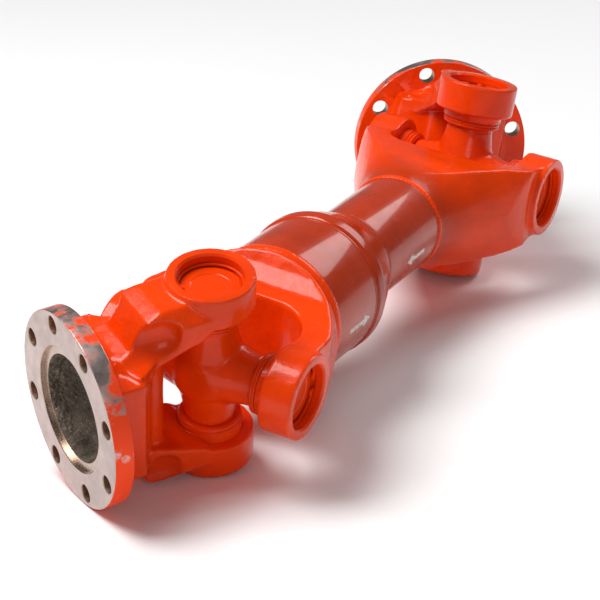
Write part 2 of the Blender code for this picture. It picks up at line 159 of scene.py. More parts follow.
class ShaftSizes(bpy.types.PropertyGroup):
    flange_radius: length("Flange radius", "Outer radius of both end flanges", 0.090)
    flange_reach: length("Flange reach", "Joint centre to flange face", 0.137)
    flange_thickness: length("Flange thickness", "Thickness of the flange at its rim", 0.018)
    bolt_circle: length("Bolt circle radius", "Radius on which the bolt holes lie", 0.07775)
    bolt_hole: length("Bolt hole radius", "Radius of a bolt hole", 0.008)
    ear_radius: length("Ear radius", "Outer radius of a yoke's ear", 0.0395)
    ear_face: length("Ear face", "Joint centre to an ear's outer face", 0.0976)
    ear_bore: length("Ear bore", "Radius of the bearing bore in an ear", 0.0297)
    cap_face: length("Cap face", "Joint centre to a bearing cup's closed end", 0.0862)
    sleeve_radius: length("Sleeve radius", "Outer radius of the splined sleeve", 0.068)
    tube_radius: length("Tube radius", "Outer radius of the shaft's tube", 0.0477)
    casting_grain: length("Casting grain", "Edge length of the castings' finished mesh", 0.0016)


class ShaftColours(bpy.types.PropertyGroup):
    enamel: colour("Enamel", "Gloss enamel over castings and forgings", (0.95, 0.056, 0.001))
    tube_enamel: colour("Tube enamel", "Thinner, deeper enamel over turned parts", (0.50, 0.034, 0.003))
    machined: colour("Machined steel", "Turned flange faces", (0.55, 0.43, 0.40))
    raw_casting: colour("Raw casting", "Unpainted cast recess", (0.20, 0.155, 0.12))
    mark: colour("Marks", "Painted alignment arrows", (0.80, 0.74, 0.70))
    floor: colour("Floor", "Studio floor", (0.93, 0.93, 0.93))


# ---------------------------------------------------------------- mesh helpers

def link(name, mesh):
    made = bpy.data.objects.new(name, mesh)
    bpy.context.scene.collection.objects.link(made)
    return made


def as_object(name, data):
    """Turn a bmesh into a linked object and free it."""
    mesh = bpy.data.meshes.new(name)
    data.to_mesh(mesh)
    data.free()
    return link(name, mesh)


def drop(thing):
    """Remove an object with its mesh."""
    mesh = thing.data
    bpy.data.objects.remove(thing, do_unlink=True)
    bpy.data.meshes.remove(mesh)


def apply_stack(thing):
    """Replace the mesh with what its modifiers make of it."""
    bpy.context.view_layer.update()
    graph = bpy.context.evaluated_depsgraph_get()
    finished = bpy.data.meshes.new_from_object(thing.evaluated_get(graph))
    thing.modifiers.clear()
    old, thing.data = thing.data, finished
    bpy.data.meshes.remove(old)
    return thing


def fillet(profile, steps=5):
    """Round the corners of (x, radius, fillet) points in the plane of the profile."""
    points = []
    for k, (x, radius, rounding) in enumerate(profile):
        here = Vector((x, radius))
        if rounding == 0.0 or k in (0, len(profile) - 1):
            points.append(here)
            continue
        before = (Vector(profile[k - 1][:2]) - here).normalized()
        after = (Vector(profile[k + 1][:2]) - here).normalized()
        start, end = here + before * rounding, here + after * rounding
        for step in range(steps + 1):
            t = step / steps
            points.append(start * (1 - t) ** 2 + here * 2 * t * (1 - t) + end * t ** 2)
    return points


def turned(name, profile, steps=96, closed=False, axis="X", sign=1):
    """A profile of (x, radius, fillet) finished by a Screw, with x laid along sign * axis."""
    if closed:
        first, second = profile[0], profile[1]
        middle = ((first[0] + second[0]) / 2, (first[1] + second[1]) / 2, 0.0)
        profile = [middle] + profile[1:] + [first, middle]
    points = fillet([(x, max(radius, POLE), rounding) for x, radius, rounding in profile])
    data = bmesh.new()
    corners = [data.verts.new((point[1], 0.0, -point[0])) for point in points]
    for low, high in zip(corners, corners[1:]):
        data.edges.new((low, high))
    bmesh.ops.remove_doubles(data, verts=data.verts, dist=PROFILE_MERGE)
    made = as_object(name, data)
    screw = made.modifiers.new("Turn", "SCREW")
    screw.axis = "Z"
    screw.steps = screw.render_steps = steps
    screw.use_merge_vertices = True
    screw.merge_threshold = SEAM_MERGE
    apply_stack(made)
    lay = Matrix.Rotation(-math.pi / 2, 4, "Y")
    turns = {"X": Matrix.Identity(4), "Y": Matrix.Rotation(math.pi / 2, 4, "Z"),
             "Z": Matrix.Rotation(-math.pi / 2, 4, "Y")}
    half_turn = Matrix.Rotation(math.pi, 4, "Z" if axis == "X" else "X")
    flip = Matrix.Identity(4) if sign > 0 else half_turn
    made.data.transform(flip @ turns[axis] @ lay)
    cap_ends(made)
    return made


def cap_ends(thing):
    """Close the small holes left at the axis."""
    data = bmesh.new()
    data.from_mesh(thing.data)
    bmesh.ops.remove_doubles(data, verts=data.verts, dist=CLEAN_MERGE)
    bmesh.ops.holes_fill(data, edges=[edge for edge in data.edges if edge.is_boundary], sides=0)
    bmesh.ops.recalc_face_normals(data, faces=data.faces)
    data.to_mesh(thing.data)
    data.free()


def outward(thing):
    """Merge stray points, drop faces without area and turn every face outward."""
    data = bmesh.new()
    data.from_mesh(thing.data)
    bmesh.ops.remove_doubles(data, verts=data.verts, dist=CLEAN_MERGE)
    bmesh.ops.dissolve_degenerate(data, edges=data.edges, dist=CLEAN_MERGE)
    bmesh.ops.recalc_face_normals(data, faces=data.faces)
    data.to_mesh(thing.data)
    data.free()


def prism(outline, half_height, plane="XY"):
    """An outline extruded both ways off its plane."""
    data = bmesh.new()
    rings = [[data.verts.new((a, b, h) if plane == "XY" else (a, h, b)) for a, b in outline]
             for h in (-half_height, half_height)]
    data.faces.new(rings[0])
    data.faces.new(rings[1])
    for k in range(len(outline)):
        after = (k + 1) % len(outline)
        data.faces.new((rings[0][k], rings[0][after], rings[1][after], rings[1][k]))
    bmesh.ops.recalc_face_normals(data, faces=data.faces)
    return as_object("tool", data)


def arc(centre, radius, start, end, steps):
    """Points on an arc between two angles in degrees."""
    angles = [math.radians(start + (end - start) * k / steps) for k in range(steps + 1)]
    return [(centre[0] + radius * math.cos(a), centre[1] + radius * math.sin(a)) for a in angles]


def mirrored(half):
    """A closed outline from its half on the positive side."""
    return half + [(a, -b) for a, b in reversed(half) if b != 0.0]


def combine(part, tools, operation):
    """Apply one exact Boolean after another and remove the tools."""
    for tool in tools:
        step = part.modifiers.new("Combine", "BOOLEAN")
        step.operation = operation
        step.solver = "EXACT"
        step.object = tool
        apply_stack(part)
        drop(tool)
    outward(part)
    return part


def cast(part, grain, passes):
    """Give a rough blank the soft edges and filled corners of a sand casting."""
    remesh = part.modifiers.new("Skin", "REMESH")
    remesh.mode = "VOXEL"
    remesh.voxel_size = grain
    relax = part.modifiers.new("Soften", "SMOOTH")
    relax.factor = 0.5
    relax.iterations = passes
    return apply_stack(part)


def disc(radius, start, end, axis="X", sign=1):
    profile = [(start, 0.0, 0.0), (start, radius, 0.0), (end, radius, 0.0), (end, 0.0, 0.0)]
    return turned("tool", profile, 64, axis=axis, sign=sign)


def record_local(mesh):
    """Keep each point's present place for the finishes."""
    local = mesh.attributes.new("local", "FLOAT_VECTOR", "POINT")
    for k, vertex in enumerate(mesh.vertices):
        local.data[k].vector = vertex.co


def place(part, body, finishes, choose=None, stands_for=()):
    """Record local places, pick finishes, move the mesh to its joint and let it ride there."""
    mesh = part.data
    record_local(mesh)
    mesh.materials.clear()
    for finish in finishes:
        mesh.materials.append(finish)
    if choose:
        for face in mesh.polygons:
            face.material_index = choose(face.center, face.normal)
    mesh.shade_smooth()
    mesh.set_sharp_from_angle(angle=math.radians(SHARP_ANGLE))
    mesh.transform(PLACES[body])
    mesh.update()
    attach(part, body)
    if stands_for:
        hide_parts(*stands_for)
    return part


# ---------------------------------------------------------------- finishes

class Finish:
    """A Principled material and a few short ways to add nodes to it."""

    def __init__(self, name, colour, roughness, metallic=0.0, coat=0.0):
        self.material = bpy.data.materials.new(name)
        self.material.use_nodes = True
        self.nodes = self.material.node_tree.nodes
        self.links = self.material.node_tree.links
        self.shader = self.nodes["Principled BSDF"]
        self.set("Base Color", (*colour, 1.0))
        self.set("Roughness", roughness)
        self.set("Metallic", metallic)
        self.set("Coat Weight", coat)
        self.set("Coat IOR", 1.45)
        self.set("Coat Roughness", 0.07)
        self.set("Specular IOR Level", 0.14)
        self.material.diffuse_color = (*colour, 1.0)
        place_node = self.nodes.new("ShaderNodeAttribute")
        place_node.attribute_name = "local"
        self.place = place_node.outputs["Vector"]

    def set(self, socket, value):
        self.shader.inputs[socket].default_value = value

    def to(self, socket, output):
        self.links.new(output, self.shader.inputs[socket])

    def noise(self, scale, detail, rough=0.5, vector=None):
        node = self.nodes.new("ShaderNodeTexNoise")
        node.inputs["Scale"].default_value = scale
        node.inputs["Detail"].default_value = detail
        node.inputs["Roughness"].default_value = rough
        self.links.new(vector or self.place, node.inputs["Vector"])
        return node.outputs["Fac"]

    def cells(self, scale):
        node = self.nodes.new("ShaderNodeTexVoronoi")
        node.inputs["Scale"].default_value = scale
        self.links.new(self.place, node.inputs["Vector"])
        return node.outputs["Distance"]

    def ramp(self, value, low, high, low_to=0.0, high_to=1.0):
        """The value's stretch from low to high, spread over low_to to high_to."""
        node = self.nodes.new("ShaderNodeMapRange")
        ends = (("From Min", low), ("From Max", high), ("To Min", low_to), ("To Max", high_to))
        for socket, number in ends:
            node.inputs[socket].default_value = number
        self.links.new(value, node.inputs["Value"])
        return node.outputs["Result"]

    def sum(self, first, second, operation="ADD"):
        """Two values added, or joined by another operation."""
        node = self.nodes.new("ShaderNodeMath")
        node.operation = operation
        for socket, value in zip(node.inputs, (first, second)):
            if isinstance(value, float):
                socket.default_value = value
            else:
                self.links.new(value, socket)
        return node.outputs["Value"]

    def mix(self, amount, first, second):
        node = self.nodes.new("ShaderNodeMix")
        node.data_type = "RGBA"
        self.links.new(amount, node.inputs["Factor"])
        for socket, value in ((node.inputs["A"], first), (node.inputs["B"], second)):
            if isinstance(value, (tuple, list)):
                socket.default_value = (*value, 1.0)
            else:
                self.links.new(value, socket)
        return node.outputs["Result"]

    def radius(self):
        """Distance from the local X axis."""
        parts = self.nodes.new("ShaderNodeSeparateXYZ")
        self.links.new(self.place, parts.inputs["Vector"])
        y_squared = self.sum(parts.outputs["Y"], parts.outputs["Y"], "MULTIPLY")
        z_squared = self.sum(parts.outputs["Z"], parts.outputs["Z"], "MULTIPLY")
        return self.sum(self.sum(y_squared, z_squared), 0.5, "POWER")

    def rings(self, along, scale):
        """Noise that changes only with one measure, as tool marks do."""
        join = self.nodes.new("ShaderNodeCombineXYZ")
        self.links.new(along, join.inputs["X"])
        return self.noise(scale, 2.0, 0.6, join.outputs["Vector"])

    def along(self, letter):
        """The place along one local axis."""
        parts = self.nodes.new("ShaderNodeSeparateXYZ")
        self.links.new(self.place, parts.inputs["Vector"])
        return parts.outputs[letter]

    def bump(self, height, strength, distance):
        node = self.nodes.new("ShaderNodeBump")
        node.inputs["Strength"].default_value = strength
        node.inputs["Distance"].default_value = distance
        self.links.new(height, node.inputs["Height"])
        self.to("Normal", node.outputs["Normal"])


def shade(tint, factor):
    """A tint made darker or paler."""
    return tuple(min(1.0, part * factor) for part in tint)


def enamel(name, tint, relief, grain, neck=None):
    """Gloss enamel over a casting.

    relief is how uneven the metal under it is, grain how sandy, and neck the tint it takes towards
    the tube.
    """
    made = Finish(name, tint, roughness=0.22, coat=0.26)
    swell = made.noise(62.0, 4.0)
    sand = made.noise(430.0, 3.0, 0.65)
    height = made.sum(made.sum(swell, relief, "MULTIPLY"), made.sum(sand, grain, "MULTIPLY"))
    made.bump(height, strength=0.6, distance=0.0022)
    patch = made.ramp(made.noise(14.0, 4.0, 0.6), 0.38, 0.66)
    base = made.mix(patch, shade(tint, 0.78), tint)
    if neck:
        base = made.mix(made.ramp(made.along("X"), 0.112, 0.150), base, neck)
    chips = made.ramp(made.noise(310.0, 4.0, 0.7), 0.725, 0.76)
    # painted shade: random dark patches put in place of the shade that falls in crevices and saddles
    painted_shade_patches = made.ramp(made.noise(120.0, 5.0, 0.75), 0.62, 0.80, 0.0, 0.55)
    shaded_base = made.mix(painted_shade_patches, base, shade(tint, 0.42))
    made.to("Base Color", made.mix(chips, shaded_base, PRIMER))
    made.to("Roughness", made.ramp(made.noise(45.0, 4.0), 0.3, 0.75, 0.12, 0.28))
    return made.material


def turned_enamel(name, tint):
    """Enamel over turned tube, with faint tool rings and runs."""
    made = Finish(name, tint, roughness=0.2, coat=0.55)
    rings = made.rings(made.along("X"), 420.0)
    swell = made.noise(55.0, 3.0)
    sand = made.noise(700.0, 2.0)
    height = made.sum(made.sum(rings, 0.10, "MULTIPLY"), made.sum(swell, 0.35, "MULTIPLY"))
    height = made.sum(height, made.sum(sand, 0.10, "MULTIPLY"))
    made.bump(height, strength=0.4, distance=0.0011)
    patch = made.ramp(made.noise(17.0, 4.0, 0.6), 0.36, 0.68)
    base = made.mix(patch, shade(tint, 0.78), shade(tint, 1.05))
    chips = made.ramp(made.noise(260.0, 5.0, 0.7), 0.735, 0.765)
    made.to("Base Color", made.mix(chips, base, TUBE_PRIMER))
    made.to("Roughness", made.ramp(made.noise(60.0, 4.0), 0.3, 0.75, 0.14, 0.34))
    return made.material


def machined_steel(name, tint, overspray=None):
    """Faced steel with fine rings about the axis, stains and, if given, stray enamel."""
    made = Finish(name, tint, roughness=0.34, metallic=1.0)
    rings = made.rings(made.radius(), 900.0)
    pits = made.noise(600.0, 3.0, 0.6)
    height = made.sum(made.sum(rings, 0.7, "MULTIPLY"), made.sum(pits, 0.35, "MULTIPLY"))
    made.bump(height, strength=0.35, distance=0.0005)
    stain = made.ramp(made.noise(38.0, 5.0, 0.65), 0.40, 0.66)
    base = made.mix(stain, shade(tint, 0.80), shade(tint, 1.06))
    band = made.ramp(rings, 0.35, 0.65, 0.0, 0.5)
    base = made.mix(band, base, shade(tint, 0.85))
    if overspray:
        # the spray thins out towards the top of the flange
        upward = made.sum(made.along("Z"), -2.2, "MULTIPLY")
        mist = made.ramp(made.sum(made.noise(30.0, 6.0, 0.75), upward), 0.31, 0.40, 0.0, 0.97)
        base = made.mix(mist, base, overspray)
        made.to("Metallic", made.ramp(mist, 0.0, 1.0, 1.0, 0.1))
    made.to("Base Color", base)
    made.to("Roughness", made.ramp(made.noise(90.0, 4.0), 0.3, 0.7, 0.26, 0.46))
    return made.material


def raw_casting(name, tint):
    """Unpainted sand-cast skin, with glints of light painted into its colour as bright flecks."""
    made = Finish(name, tint, roughness=0.55, metallic=0.75)
    sand = made.noise(380.0, 4.0, 0.7)
    lumps = made.cells(260.0)
    height = made.sum(sand, made.sum(lumps, 0.9, "MULTIPLY"))
    made.bump(height, strength=1.0, distance=0.0030)
    stain = made.ramp(made.noise(60.0, 5.0, 0.7), 0.38, 0.66)
    base = made.mix(stain, shade(tint, 0.45), shade(tint, 1.25))
    # painted glints: bright flecks in the colour stand in for light sparkling off the sand-cast skin
    painted_glints = made.ramp(made.noise(700.0, 2.0), 0.62, 0.74, 0.0, 0.8)
    made.to("Base Color", made.mix(painted_glints, base, PAINTED_GLINT))
    made.to("Roughness", made.ramp(sand, 0.3, 0.7, 0.35, 0.7))
    return made.material


def ground_steel(name, tint, roughness):
    """Ground or drilled steel with a film of oil."""
    made = Finish(name, tint, roughness, metallic=1.0)
    swirl = made.noise(850.0, 3.0)
    made.bump(swirl, strength=0.2, distance=0.0003)
    oil = made.ramp(made.noise(50.0, 4.0), 0.35, 0.7)
    made.to("Base Color", made.mix(oil, shade(tint, 0.7), tint))
    made.to("Roughness", made.ramp(swirl, 0.3, 0.7, roughness * 0.8, roughness * 1.3))
    return made.material


def mark_paint(name, tint):
    """Pale paint, worn through in places."""
    made = Finish(name, tint, roughness=0.5)
    made.bump(made.noise(700.0, 3.0), strength=0.3, distance=0.0004)
    wear = made.ramp(made.noise(330.0, 4.0, 0.7), 0.5, 0.62, 0.0, 0.75)
    made.to("Base Color", made.mix(wear, tint, WORN_MARK))
    return made.material


def studio_floor(name, tint):
    made = bpy.data.materials.new(name)
    made.use_nodes = True
    shader = made.node_tree.nodes["Principled BSDF"]
    shader.inputs["Base Color"].default_value = (*tint, 1.0)
    shader.inputs["Roughness"].default_value = 0.9
    return made


FINISHES = {}


def finish(name):
    """Make the named finish once, from the colours in the panel."""
    tints = bpy.context.scene.shaft_colours
    red, deep = tuple(tints.enamel), tuple(tints.tube_enamel)
    makers = {
        "cast_enamel": lambda: enamel("cast_enamel", red, 1.0, 0.26),
        "yoke_enamel": lambda: enamel("yoke_enamel", red, 1.0, 0.26, deep),
        "smooth_enamel": lambda: enamel("smooth_enamel", red, 0.5, 0.16),
        "turned_enamel": lambda: turned_enamel("turned_enamel", deep),
        "flange_face": lambda: machined_steel("flange_face", tuple(tints.machined)),
        "flange_rim": lambda: machined_steel("flange_rim", shade(tuple(tints.machined), 1.1), red),
        "hole_wall": lambda: ground_steel("hole_wall", HOLE_STEEL, 0.4),
        "raw_casting": lambda: raw_casting("raw_casting", tuple(tints.raw_casting)),
        "register_step": lambda: ground_steel("register_step", REGISTER_STEEL, 0.26),
        "bare_steel": lambda: ground_steel("bare_steel_ground", SPLINE_STEEL, 0.35),
        "bearing_steel": lambda: ground_steel("bearing_steel_ground", NEEDLE_STEEL, 0.22),
        "mark_paint": lambda: mark_paint("mark_paint", tuple(tints.mark)),
    }
    if name not in FINISHES:
        FINISHES[name] = makers[name]()
    return FINISHES[name]


# ---------------------------------------------------------------- castings

def bore_tools(sizes, axis):
    """Cutters for the bearing bores of two ears, with circlip grooves and outer chamfers."""
    groove, beyond = sizes.cap_face + 0.0003, sizes.ear_face + 0.002
    bore = sizes.ear_bore
    start, depth, width = 0.030, 0.0019, 0.003
    profile = [(start, 0.0, 0.0), (start, bore, 0.0), (groove, bore, 0.0), (groove, bore + depth, 0.0),
               (groove + width, bore + depth, 0.0), (groove + width, bore, 0.0),
               (sizes.ear_face - 0.0018, bore, 0.0), (beyond, bore + 0.0038, 0.0), (beyond, 0.0, 0.0)]
    return [turned("tool", profile, 72, axis=axis, sign=sign) for sign in (1, -1)]


def ear_faces(sizes, axis):
    """Cutters that face both ears off flat on the outside."""
    return [disc(0.045, sizes.ear_face, sizes.ear_face + 0.010, axis, sign) for sign in (1, -1)]


def ear_bosses(sizes, axis):
    """The round bosses that two ears are built on."""
    start, end = EAR_INNER - BOSS_DEPTH, sizes.ear_face + BOSS_SPARE
    return [disc(sizes.ear_radius, start, end, axis, sign) for sign in (1, -1)]


def ear_end(sizes):
    """Half of an ear's round end in outline."""
    return arc((0.0, 0.0), sizes.ear_radius - 0.002, 180.0, 90.0, 16)


def shaft_yoke(sizes, turning, plan, side):
    """Turned blank, plan and side outline in common, with ear bosses and a rounded throat."""
    blank = [(YOKE_TIP, 0.0, 0.0), (YOKE_TIP, turning[0][1], 0.0)]
    blank += [(x, radius, 0.006) for x, radius in turning] + [(turning[-1][0], 0.0, 0.0)]
    yoke = turned("yoke", blank, 80)
    side = mirrored(ear_end(sizes) + side)
    combine(yoke, [prism(mirrored(plan), CUT_REACH), prism(side, CUT_REACH, "XZ")], "INTERSECT")
    combine(yoke, ear_bosses(sizes, "Y"), "UNION")
    throat_corner = 0.040
    throat = [(-0.07, EAR_INNER)]
    throat += arc((0.028, EAR_INNER - throat_corner), throat_corner, 90.0, 0.0, 16)
    combine(yoke, [prism(mirrored(throat), CUT_REACH)], "DIFFERENCE")
    return yoke


def flange_blank(sizes):
    """The cast part of a flange yoke: two chamfered arms, a post, a neck and bolt-head scoops."""
    turning = [(0.080, 0.100), (0.098, 0.066), (0.106, 0.0595), (0.112, 0.0615), (0.117, 0.066),
               (0.1205, 0.074), (0.127, 0.074)]
    blank = [(YOKE_TIP, 0.0, 0.0), (YOKE_TIP, turning[0][1], 0.0)]
    blank += [(x, radius, 0.0) for x, radius in turning] + [(turning[-1][0], 0.0, 0.0)]
    yoke = turned("yoke", blank, 80)
    side = [(-0.042, 0.093), (0.060, 0.093), (0.074, 0.088), (0.090, 0.062), (0.102, 0.058),
            (0.112, 0.061), (0.119, 0.074), (0.128, 0.076)]
    plan = ear_end(sizes)
    plan += [(0.070, 0.036), (0.098, 0.055), (0.110, 0.060), (0.120, 0.074), (0.128, 0.076)]
    combine(yoke, [prism(mirrored(side), CUT_REACH, "XZ"), prism(mirrored(plan), CUT_REACH)], "INTERSECT")
    flat, side_edge, top_edge, low = 0.0225, 0.060, 0.0935, 0.056
    lay_along = Matrix.Rotation(math.pi / 2, 4, "Z") @ Matrix.Rotation(math.pi / 2, 4, "X")
    chamfers = []
    for sign_y, sign_z in QUARTERS:
        corner = [(sign_y * flat, sign_z * top_edge), (sign_y * side_edge, sign_z * top_edge),
                  (sign_y * side_edge, sign_z * low)]
        bar = prism(corner, 0.0665)
        bar.data.transform(Matrix.Translation((0.0165, 0.0, 0.0)) @ lay_along)
        outward(bar)
        chamfers.append(bar)
    combine(yoke, chamfers, "DIFFERENCE")
    combine(yoke, ear_bosses(sizes, "Z"), "UNION")
    throat = [(-0.080, EAR_INNER), (0.014, EAR_INNER), (0.024, 0.060), (0.070, 0.045), (0.084, 0.033)]
    combine(yoke, [prism(mirrored(throat), CUT_REACH, "XZ")], "DIFFERENCE")
    post = mirrored(arc((0.0795, 0.0), 0.030, 180.0, 105.0, 10) + [(0.0912, 0.057), (0.118, 0.057)])
    combine(yoke, [prism(post, 0.050)], "UNION")
    relief = ((0.020, 0.110), (0.020, 0.042), (0.073, 0.030), (0.093, 0.0586), (0.093, 0.110))
    combine(yoke, [prism([(x, sign * y) for x, y in relief], 0.040) for sign in (1, -1)], "DIFFERENCE")
    scoop_end = sizes.flange_reach - sizes.flange_thickness + 0.0005
    scoop_profile = [(0.045, 0.0, 0.0), (0.047, 0.012, 0.003), (0.055, 0.019, 0.004), (0.066, 0.021, 0.0),
                     (scoop_end, 0.021, 0.0), (scoop_end, 0.0, 0.0)]
    for sign_y, sign_z in QUARTERS:
        scoop = turned("tool", scoop_profile, 40)
        scoop.data.transform(Matrix.Translation((0.0, sign_y * 0.042, sign_z * 0.074)))
        combine(yoke, [scoop], "DIFFERENCE")
    return yoke


def flange_yoke(sizes):
    """Cast blank, then the flange turned, faced, recessed and drilled."""
    yoke = cast(flange_blank(sizes), sizes.casting_grain, FLANGE_YOKE_PASSES)
    reach, radius = sizes.flange_reach, sizes.flange_radius
    back = reach - sizes.flange_thickness
    rim_profile = [(back, 0.0, 0.0), (back, radius, 0.0012), (reach, radius, 0.0010), (reach, 0.0, 0.0)]
    combine(yoke, [turned("tool", rim_profile, 128)], "UNION")
    beyond, step = reach + 0.001, reach - REGISTER_DEPTH
    recess = turned("tool", [(beyond, 0.0, 0.0), (beyond, 0.0583, 0.0), (reach, 0.0580, 0.0),
                             (reach - 0.0006, 0.0575, 0.0), (step, 0.0575, 0.0), (step, 0.0495, 0.0),
                             (step - 0.002, 0.0485, 0.0), (reach - 0.018, 0.0470, 0.006),
                             (reach - 0.029, 0.034, 0.008), (reach - 0.031, 0.0, 0.0)], 96)
    combine(yoke, [recess], "DIFFERENCE")
    start, bore = back - 0.003, sizes.bolt_hole
    hole_profile = [(start, 0.0, 0.0), (start, bore, 0.0), (reach - 0.0008, bore, 0.0),
                    (beyond, bore + HOLE_CHAMFER, 0.0), (beyond, 0.0, 0.0)]
    for k in range(BOLT_HOLES):
        angle = 2.0 * math.pi * (k + 0.5) / BOLT_HOLES
        hole = turned("tool", hole_profile, 32)
        spot = Vector((0.0, math.cos(angle), math.sin(angle))) * sizes.bolt_circle
        hole.data.transform(Matrix.Translation(spot))
        combine(yoke, [hole], "DIFFERENCE")
    combine(yoke, ear_faces(sizes, "Z") + bore_tools(sizes, "Z"), "DIFFERENCE")
    return yoke


def flange_finish(sizes):
    """Which finish a face of the flange yoke has, by where it is."""
    reach, back = sizes.flange_reach, sizes.flange_reach - sizes.flange_thickness
    recess_floor, register_floor = reach - 0.0335, reach - 0.0045
    recess_wall, register_wall, rim_wall = 0.0490, 0.0585, 0.0885
    number = FLANGE_FINISHES.index

    def choose(centre, normal):
        radius = math.hypot(centre.y, centre.z)
        if centre.x > reach - 0.0009 and normal.x > 0.8:
            return number("flange_face")
        if centre.x > back + 0.0002 and radius > rim_wall:
            return number("flange_rim")
        if recess_floor < centre.x < register_floor and radius < recess_wall:
            return number("raw_casting")
        if centre.x > register_floor and radius < register_wall:
            return number("register_step")
        if centre.x > back + 0.0005:
            return number("hole_wall")
        return number("cast_enamel")
    return choose


def four_arms(profile):
    """The same turned form along both ways of Y and of Z."""
    return [turned("tool", profile, 64, axis=axis, sign=sign) for axis in ("Y", "Z") for sign in (1, -1)]


def cross_body(sizes):
    """Forged cross: four arms blending into the middle, turned shoulders and ground journals."""
    middle = [(-0.031, 0.0, 0.0), (-0.031, 0.020, 0.006), (-0.020, 0.029, 0.006), (0.020, 0.029, 0.006),
              (0.031, 0.020, 0.006), (0.031, 0.0, 0.0)]
    arm = [(0.0, 0.0, 0.0), (0.0, 0.030, 0.0), (0.016, 0.030, 0.0), (0.034, 0.0255, 0.006),
           (0.044, 0.0236, 0.0), (0.050, 0.0236, 0.0), (0.050, 0.0, 0.0)]
    journal = [(0.044, 0.0, 0.0), (0.044, 0.0230, 0.0), (0.0508, 0.0230, 0.001), (0.0508, 0.0195, 0.0),
               (0.078, 0.0195, 0.0), (TRUNNION_END, 0.018, 0.0), (TRUNNION_END, 0.0, 0.0)]
    body = turned("cross", middle, 64)
    combine(body, four_arms(arm), "UNION")
    cast(body, sizes.casting_grain, CROSS_PASSES)
    combine(body, four_arms(journal), "UNION")
    return body


# ---------------------------------------------------------------- operators

class Build(bpy.types.Operator):
    bl_options = {"REGISTER", "UNDO"}

    @property
    def sizes(self):
        return bpy.context.scene.shaft_sizes


class SHAFT_OT_shaft_yokes(Build):
    """Cast the two yokes at the ends of the shaft"""
    bl_idname = "shaft.shaft_yokes"
    bl_label = "Shaft yokes"

    def execute(self, context):
        sizes = self.sizes
        ear = sizes.ear_radius
        front = shaft_yoke(
            sizes,
            turning=[(0.030, 0.104), (0.062, 0.094), (0.090, 0.082), (0.112, 0.068), (0.118, 0.068)],
            plan=[(-ear, 0.092), (0.045, 0.092), (0.062, 0.087), (0.120, 0.072)],
            side=[(0.030, ear - 0.002), (0.060, 0.0425), (0.084, 0.049), (0.098, 0.060), (0.107, 0.072),
                  (0.122, 0.076)])
        rear = shaft_yoke(
            sizes,
            turning=[(0.030, 0.104), (0.053, 0.096), (0.083, 0.081), (0.113, 0.066), (0.140, 0.0525),
                     (0.156, 0.0477), (REAR_NECK_REACH, 0.0477)],
            plan=[(-ear, 0.092), (0.045, 0.092), (0.060, 0.089), (0.165, 0.060)],
            side=[(0.025, ear - 0.002), (0.070, 0.047), (0.100, 0.0495), (0.168, 0.052)])
        for end, yoke in (("front", front), ("rear", rear)):
            yoke.name = f"{end}_shaft_yoke_casting"
            cast(yoke, sizes.casting_grain, SHAFT_YOKE_PASSES)
            cuts = ear_faces(sizes, "Y") + bore_tools(sizes, "Y")
            if end == "front":
                # the neck is hollow, open towards the sleeve
                cuts.append(disc(0.043, 0.084, 0.123))
            combine(yoke, cuts, "DIFFERENCE")
            place(yoke, f"{end}_shaft", [finish("yoke_enamel")], stands_for=[f"{end}_shaft_yoke"])
        return {"FINISHED"}


class SHAFT_OT_flange_yokes(Build):
    """Cast and machine the two flange yokes"""
    bl_idname = "shaft.flange_yokes"
    bl_label = "Flange yokes"

    def execute(self, context):
        first = flange_yoke(self.sizes)
        second = link("rear_flange_yoke_casting", first.data.copy())
        first.name = "front_flange_yoke_casting"
        finishes = [finish(name) for name in FLANGE_FINISHES]
        for end, yoke in (("front", first), ("rear", second)):
            place(yoke, f"{end}_flange", finishes, choose=flange_finish(self.sizes),
                  stands_for=[f"{end}_flange_yoke"])
        return {"FINISHED"}


class SHAFT_OT_crosses(Build):
    """Forge the two crosses"""
    bl_idname = "shaft.crosses"
    bl_label = "Crosses"

    def execute(self, context):
        first = cross_body(self.sizes)
        second = link("rear_cross_forging", first.data.copy())
        first.name = "front_cross_forging"
        for end, body in (("front", first), ("rear", second)):
            place(body, f"{end}_cross", [finish("smooth_enamel")], stands_for=[f"{end}_cross"])
        return {"FINISHED"}


